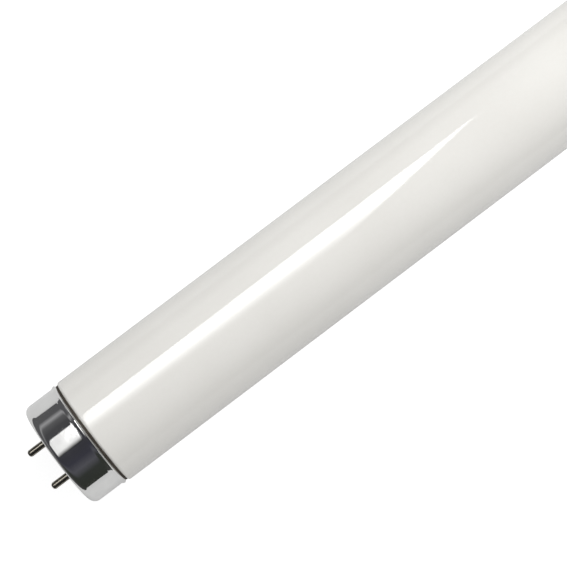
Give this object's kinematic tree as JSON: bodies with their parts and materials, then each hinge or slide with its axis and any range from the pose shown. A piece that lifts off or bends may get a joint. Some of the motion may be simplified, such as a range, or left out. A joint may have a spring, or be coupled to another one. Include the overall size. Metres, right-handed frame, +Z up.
{
  "type": "fluorescent tube",
  "caption": "Straight white fluorescent tube with a drawn metal cap and a pair of contact pins at each end, for a two-pin lamp holder.",
  "frame": {"origin": "on the tube's axis, midway between its ends", "axes": "+X along the tube, +Y from the front row of pins to the rear row, +Z up"},
  "size_m": [0.603, 0.0382, 0.038],
  "materials": {
    "coated_glass": "glossy clear glass over a matt white inner coat, opaque",
    "polished_aluminium": "bright drawn sheet",
    "basing_cement": "matt dark brown cement",
    "moulded_resin": "dark moulded resin, half matt",
    "pin_brass": "plated brass, tarnished",
    "lead_metal": "bare drawn wire"
  },
  "bodies": {
    "root": {"glass_tube": "coated_glass", "cap_shells": "polished_aluminium", "cement_rings": "basing_cement", "insulators": "moulded_resin", "contact_pin_left_front": "pin_brass", "contact_pin_left_rear": "pin_brass", "contact_pin_right_front": "pin_brass", "contact_pin_right_rear": "pin_brass", "lead_wire_left_front": "lead_metal", "lead_wire_left_rear": "lead_metal", "lead_wire_right_front": "lead_metal", "lead_wire_right_rear": "lead_metal"}
  },
  "joints": []
}
